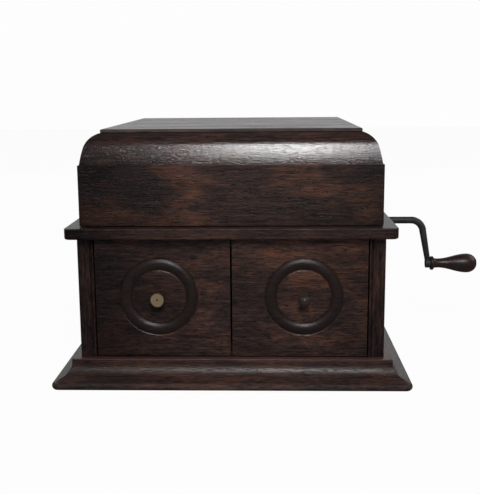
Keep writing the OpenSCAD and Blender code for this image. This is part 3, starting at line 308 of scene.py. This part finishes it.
def stained_oak(name, along="x", half=(0.0, 0.0), red=0.5, gloss=0.28, shine=0.2, peel=0.35, end_shade=(0.55, 0.35),
                deep=1.75, waves=0.3, grime=0.0, dull_below=None, shift=(0.0, 0.0, 0.0), hollow=None,
                dull_sides=0.0, ledge_highlight_above=None):
    """Near-black stained oak: long grain, open pores, red-brown where the stain has worn, shellac gone dull.

    red is the worn stain's share, deep the colour's strength, ends how much painted shade darkens a board's left
    and right sides, standing in for the light falling off there, peel and waves the polish's fine and long
    unevenness, and shift a place in the grain that differs from board to board.
    """
    n = Nodes(name)
    at = n.vmath("ADD", grain_place(n, along, half), shift)
    figure = n.grain(at, 7.0, scale=5.0, detail=5.0, rough=0.65, distort=0.5)
    fibre = n.grain(at, 17.0, scale=24.0, detail=6.0, rough=0.7, distort=0.25)
    dashes = n.grain(at, 8.0, scale=90.0, detail=3.0, rough=0.65)
    patch = n.grain(at, 2.8, scale=9.0, detail=8.0, rough=0.72, distort=0.3)
    streak = n.grain(at, 11.0, scale=42.0, detail=4.0, rough=0.7)
    skin = n.grain(at, 1.7, scale=260.0, detail=3.0, rough=0.6)
    worn = n.times(n.ramp(patch, (0.48, 0.0), (0.70, 1.0)), n.ramp(streak, (0.38, 0.35), (0.60, 1.25)))
    pore = n.ramp(dashes, (0.37, 1.0), (0.46, 0.0))
    fleck = n.ramp(dashes, (0.54, 0.0), (0.68, 1.0))
    tone = n.plus(n.times(fibre, 0.72), n.times(figure, 0.28))
    base = n.ramp(tone, (0.36, OAK_DARK), (0.50, OAK_MIDDLE), (0.66, OAK_LIGHT))
    base = n.mix(n.times(fleck, 0.5), base, OAK_FLECK)
    base = n.mix(n.times(worn, red), base, OAK_WORN, "ADD")
    base = n.mix(n.times(pore, 0.9), base, OAK_PORE)
    # Painted highlight: red-brown added above this height, standing in for the light on the plinth's ledge
    if ledge_highlight_above:
        high = n.math("GREATER_THAN", n.split(n.place)[2], ledge_highlight_above)
        ledge_highlight = n.times(high, n.ramp(fibre, (0.36, 0.35), (0.64, 1.3)))
        base = n.mix(ledge_highlight, base, OAK_LEDGE_HIGHLIGHT, "ADD")
    # Painted shade: the base colour darkens towards the board's left and right sides, standing in for the light
    # falling off there
    across = n.plus(n.split(n.place)[0], 0.5)
    left = n.ramp(across, (LEFT_SHADE_FADE[0], 1.0 - end_shade[0]), (LEFT_SHADE_FADE[1], 1.0))
    right = n.ramp(across, (RIGHT_SHADE_FADE[0], 1.0), (RIGHT_SHADE_FADE[1], 1.0 - end_shade[1]))
    strength = n.mix(1.0, n.mix(1.0, left, right, "MULTIPLY"), (deep, deep, deep), "MULTIPLY")
    base = n.mix(1.0, base, strength, "MULTIPLY")
    rough = oak_roughness(n, fibre, figure, streak, gloss, grime, dull_below, dull_sides, hollow)
    n.set(Base_Color=base, Roughness=rough, Specular_IOR_Level=shine)
    n.bump((pore, -0.0004, waves), (fibre, 0.0008, waves), (skin, 0.0007, peel))
    return n.mat


def ebonised(name, tint, gloss=0.24):
    """Turned hardwood stained black: fine grain, a soft worn polish."""
    n = Nodes(name)
    grain = n.grain(n.place, 14.0, scale=30.0, detail=5.0, rough=0.65)
    skin = n.noise(n.place, scale=330.0, detail=3.0, rough=0.6)
    cloud = n.noise(n.place, scale=38.0, detail=4.0, rough=0.6)
    base = n.mix(grain, shade(tint, 0.4), shade(tint, 2.6))
    n.set(Base_Color=base, Roughness=n.plus(n.times(cloud, 0.2), gloss), Specular_IOR_Level=0.25)
    n.bump((grain, 0.0006, 0.35), (skin, 0.0005, 0.35))
    return n.mat


def worn_knob(name, node):
    """A dark turned knob whose flat face is worn to bare pale end grain, brown round its edge."""
    n = Nodes(name)
    low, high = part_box(node)
    middle = Vector(low).lerp(Vector(high), 0.5)
    radius = (high[0] - low[0]) / 2
    x, y, z = n.split(n.place)[:3]
    off_z = n.minus(z, middle.z)
    away = n.length(n.minus(x, middle.x), off_z)
    cloud = n.noise(n.place, scale=160.0, detail=4.0, rough=0.6)
    ragged = n.times(n.minus(cloud, 0.5), 0.16)
    share = n.plus(n.math("DIVIDE", away, radius), ragged)
    front = n.math("LESS_THAN", y, low[1] + KNOB_FACE_DEPTH)
    height = n.plus(n.math("DIVIDE", off_z, 4.0 * radius), 0.5)
    underside = n.ramp(height, (0.28, 1.0), (0.40, 0.0))
    rings = n.noise(n.join(n.times(away, 3.0), 0.0, 0.0), scale=420.0, detail=3.0, rough=0.6)
    pale = n.ramp(rings, (0.3, KNOB_PALE[0]), (0.7, KNOB_PALE[1]))
    pale = n.mix(n.times(cloud, 0.45), pale, KNOB_SOILED)
    face = n.ramp(share, (0.80, 1.0), (0.90, 0.0))
    base = n.mix(face, n.mix(underside, KNOB_SIDE, KNOB_UNDERSIDE), pale)
    within = n.times(front, n.ramp(share, (0.89, 1.0), (0.96, 0.0)))
    base = n.mix(within, KNOB_EDGE, base)
    n.set(Base_Color=base, Roughness=n.plus(n.times(cloud, 0.2), 0.45), Specular_IOR_Level=0.3)
    n.bump((cloud, 0.0006, 0.3))
    return n.mat


def plain_wood(name, along, dark, light):
    """Varnished inner boards."""
    n = Nodes(name)
    at = grain_place(n, along)
    figure = n.grain(at, 8.0, scale=8.0, detail=6.0, rough=0.6, distort=0.8)
    streak = n.grain(at, 30.0, scale=30.0, detail=3.0, rough=0.6)
    base = n.ramp(figure, (0.3, dark), (0.7, light))
    base = n.mix(n.times(n.ramp(streak, (0.35, 1.0), (0.6, 0.0)), 0.5), base, shade(dark, 0.5))
    n.set(Base_Color=base, Roughness=n.plus(n.times(streak, 0.25), 0.38))
    n.bump((streak, 0.0002, 0.4), (figure, 0.0004, 0.1))
    return n.mat


def metal(name, colour, rough):
    """Plated or bare metal with cloudy tarnish and fine handling marks."""
    n = Nodes(name)
    cloud = n.noise(n.place, scale=45.0, detail=5.0, rough=0.65, distort=0.3)
    marks = n.noise(n.vmath("MULTIPLY", n.place, (1.0, 1.0, 12.0)), scale=260.0, detail=3.0, rough=0.6)
    dirt = n.ramp(cloud, (0.45, 0.0), (0.8, 1.0))
    base = n.mix(n.times(dirt, 0.25), colour, (0.12, 0.10, 0.08))
    n.set(Base_Color=base, Roughness=n.plus(n.times(cloud, 0.15), rough), Metallic=1.0)
    n.bump((marks, 0.00006, 0.3))
    return n.mat


def enamel(name):
    """Stoved black enamel, worn thin in places."""
    n = Nodes(name)
    cloud = n.noise(n.place, scale=60.0, detail=4.0, rough=0.6)
    peel = n.noise(n.place, scale=700.0, detail=2.0, rough=0.5)
    base = n.ramp(cloud, (0.35, (0.012, 0.012, 0.0125)), (0.75, (0.030, 0.029, 0.029)))
    n.set(Base_Color=base, Roughness=n.plus(n.times(cloud, 0.2), 0.42), Specular_IOR_Level=0.3)
    n.bump((peel, 0.00015, 0.25))
    return n.mat


def felt(name):
    """Green felt with a little fuzz."""
    n = Nodes(name)
    fuzz = n.noise(n.place, scale=900.0, detail=4.0, rough=0.75)
    cloud = n.noise(n.place, scale=30.0, detail=4.0, rough=0.6)
    base = n.mix(cloud, (0.030, 0.075, 0.040), (0.055, 0.120, 0.065))
    base = n.mix(n.times(fuzz, 0.6), base, (0.015, 0.040, 0.020))
    n.set(Base_Color=base, Roughness=0.95, Sheen_Weight=0.1)
    n.bump((fuzz, 0.0006, 0.7))
    return n.mat


def mica(name):
    """A thin cloudy sheet that lets some light through."""
    n = Nodes(name)
    cloud = n.noise(n.place, scale=90.0, detail=4.0, rough=0.6)
    base = n.mix(cloud, (0.42, 0.33, 0.19), (0.60, 0.50, 0.33))
    n.set(Base_Color=base, Roughness=0.18, Transmission_Weight=0.35)
    n.bump((cloud, 0.0003, 0.2))
    return n.mat


def give(material, *names):
    """Puts one material on CAD nodes."""
    for name in names:
        mesh = NODES[name].data
        mesh.materials.clear()
        mesh.materials.append(material)


def ease(*names):
    """Copies of sawn CAD nodes with their sharp edges rounded a little, as sanding does, in the nodes' places."""
    bodies = {name: body for body, names in frame["record"]["behaviour"]["bodies"].items() for name in names}
    for name in names:
        ob = bpy.data.objects.new(name + "_eased", NODES[name].data.copy())
        bpy.context.scene.collection.objects.link(ob)
        mod = ob.modifiers.new("ease", "BEVEL")
        mod.width = EDGE_WIDTH
        mod.segments = 2
        mod.limit_method = "ANGLE"
        mod.angle_limit = EDGE_ANGLE
        mod.harden_normals = True
        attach(ob, bodies[name])
        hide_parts(name)


def floor():
    """A pale floor, plain white to the camera but for a trace of the shadow."""
    n = Nodes("floor")
    n.tree.nodes.remove(n.shader)
    rays = n.add("ShaderNodeLightPath")
    matte = n.add("ShaderNodeBsdfDiffuse")
    grit = n.noise(n.place, scale=300.0, detail=3.0, rough=0.6)
    n.link(n.ramp(grit, (0.3, 0.80), (0.7, 0.84)), matte.inputs["Color"])
    glow = n.add("ShaderNodeEmission")
    glow.inputs["Color"].default_value = WHITE
    mix = n.add("ShaderNodeMixShader")
    n.link(n.times(rays.outputs["Is Camera Ray"], FLOOR_WHITE_SHARE), mix.inputs[0])
    n.link(matte.outputs[0], mix.inputs[1])
    n.link(glow.outputs[0], mix.inputs[2])
    n.link(mix.outputs[0], n.out.inputs["Surface"])
    bpy.ops.mesh.primitive_plane_add(size=FLOOR_SIZE)
    ob = bpy.context.active_object
    ob.name = "floor"
    ob.data.materials.append(n.mat)
    ob.visible_glossy = False


def world():
    """White to the camera, and a dim even light to everything else."""
    w = bpy.data.worlds.new("studio")
    bpy.context.scene.world = w
    w.use_nodes = True
    tree = w.node_tree
    tree.nodes.clear()
    out = tree.nodes.new("ShaderNodeOutputWorld")
    rays = tree.nodes.new("ShaderNodeLightPath")
    lit = tree.nodes.new("ShaderNodeBackground")
    lit.inputs["Color"].default_value = ROOM_TINT
    lit.inputs["Strength"].default_value = ROOM_LIGHT
    white = tree.nodes.new("ShaderNodeBackground")
    white.inputs["Color"].default_value = WHITE
    mix = tree.nodes.new("ShaderNodeMixShader")
    tree.links.new(rays.outputs["Is Camera Ray"], mix.inputs[0])
    tree.links.new(lit.outputs[0], mix.inputs[1])
    tree.links.new(white.outputs[0], mix.inputs[2])
    tree.links.new(mix.outputs[0], out.inputs["Surface"])


def softbox(name, at, aim, size, power):
    """A rectangular lamp that the camera doesn't see."""
    data = bpy.data.lights.new(name, "AREA")
    data.shape = "RECTANGLE"
    data.size, data.size_y = size
    data.energy = power
    ob = bpy.data.objects.new(name, data)
    ob.location = at
    ob.rotation_euler = (Vector(aim) - Vector(at)).to_track_quat("-Z", "Y").to_euler()
    ob.visible_camera = False
    bpy.context.scene.collection.objects.link(ob)


def dress_case():
    """The outside woodwork, whose grain runs along each board."""
    give(stained_oak("oak_plinth", "ring", CASE_HALF, red=0.45, gloss=0.27, shine=0.26, peel=0.22, deep=2.15,
                     dull_below=PLINTH_FOOT_Z, ledge_highlight_above=PLINTH_LEDGE_Z, end_shade=(0.5, 0.3)),
         "plinth_mouldings")
    give(stained_oak("oak_waist", "ring", CASE_HALF, red=0.35, end_shade=(0.85, 0.35), shift=(0.3, 0, 0)),
         "waist_mouldings")
    give(stained_oak("oak_band", "ring", LID_HALF, red=0.62, end_shade=(0.75, 0.5), shift=(0.7, 0.2, 0)),
         "lid_frame_boards")
    give(stained_oak("oak_cushion", "ring", LID_HALF, red=0.3, gloss=0.13, shine=0.5, peel=0.3, waves=0.12,
                     shift=(1.3, 0, 0.4), hollow=CUSHION_HOLLOW),
         "lid_mouldings")
    give(stained_oak("oak_top", "x", red=0.3, gloss=0.17, shine=0.62, grime=0.25, end_shade=(0.0, 0.0),
                     shift=(2.1, 0, 0), dull_sides=0.7),
         "lid_top_panel")
    give(stained_oak("oak_left_side", "y", shift=(0.9, 0, 0)), "left_side_panel")
    give(stained_oak("oak_right_side", "y", shift=(1.9, 0, 0)), "right_side_panel")
    give(stained_oak("oak_back", "x", shift=(2.9, 0, 0)), "back_panel")
    give(stained_oak("oak_stiles", "z", red=0.35, shift=(3.3, 0, 0)), "front_frame")
    give(stained_oak("oak_left_door", "x", end_shade=(0.75, 0.35), shift=(4.1, 0.5, 0)), "left_door")
    give(stained_oak("oak_right_door", "x", red=0.62, shift=(5.3, 0.9, 0)), "right_door")
    give(ebonised("ebonised_rings", (0.0085, 0.0052, 0.0045), 0.27), "left_door_ring", "right_door_ring")
    give(ebonised("ebonised_knob", (0.0145, 0.0100, 0.0088), 0.31), "right_door_knob")
    give(ebonised("handle_wood", (0.0150, 0.0082, 0.0066)), "crank_handle")
    give(worn_knob("worn_knob", "left_door_knob"), "left_door_knob")


def dress_works():
    """The inner boards, the metalwork, the felt and the diaphragm."""
    give(plain_wood("board_wood", "x", dark=(0.085, 0.042, 0.020), light=(0.21, 0.115, 0.058)),
         "motor_board", "bottom_board", "ledger_strips")
    give(plain_wood("horn_wood", "y", dark=(0.07, 0.035, 0.017), light=(0.16, 0.085, 0.042)),
         "horn_floor", "horn_roof", "horn_cheeks")
    give(enamel("black_enamel"), "crank_arm", "crank_handle_pin", "motor_top_plate", "motor_bottom_plate",
         "motor_pillars", "motor_brackets", "horn_throat", "friction_lever", "winding_click")
    give(metal("nickel_plate", (0.62, 0.60, 0.56), 0.2), "crank_bush", "turntable_platter", "brake_lever",
         "tonearm_base", "tonearm_rest", "tonearm_tube", "gooseneck", "soundbox_case", "stylus_bar",
         "needle_cups", "speed_knob", "stay_guide")
    give(metal("satin_brass", (0.60, 0.42, 0.17), 0.28), "case_hinge_leaves", "lid_hinge_leaves",
         "lid_stay", "step_gear", "governor_weights")
    give(metal("dull_iron", (0.070, 0.062, 0.055), 0.45), "door_pins_and_catches")
    give(metal("oiled_steel", (0.42, 0.42, 0.43), 0.3), "winding_shaft", "barrel_arbor", "spring_barrel",
         "mainspring", "turntable_spindle", "governor_shaft", "governor_springs", "motor_screws")
    give(felt("green_felt"), "turntable_felt")
    give(mica("mica"), "soundbox_diaphragm")


camera()
floor()
world()
for lamp in SOFTBOXES:
    softbox(*lamp)
dress_case()
dress_works()
ease("left_door", "right_door", "front_frame", "plinth_mouldings", "waist_mouldings", "lid_frame_boards",
     "lid_mouldings", "lid_top_panel", "left_side_panel", "right_side_panel", "back_panel", "motor_board")

scene = bpy.context.scene
scene.view_settings.view_transform = "Standard"
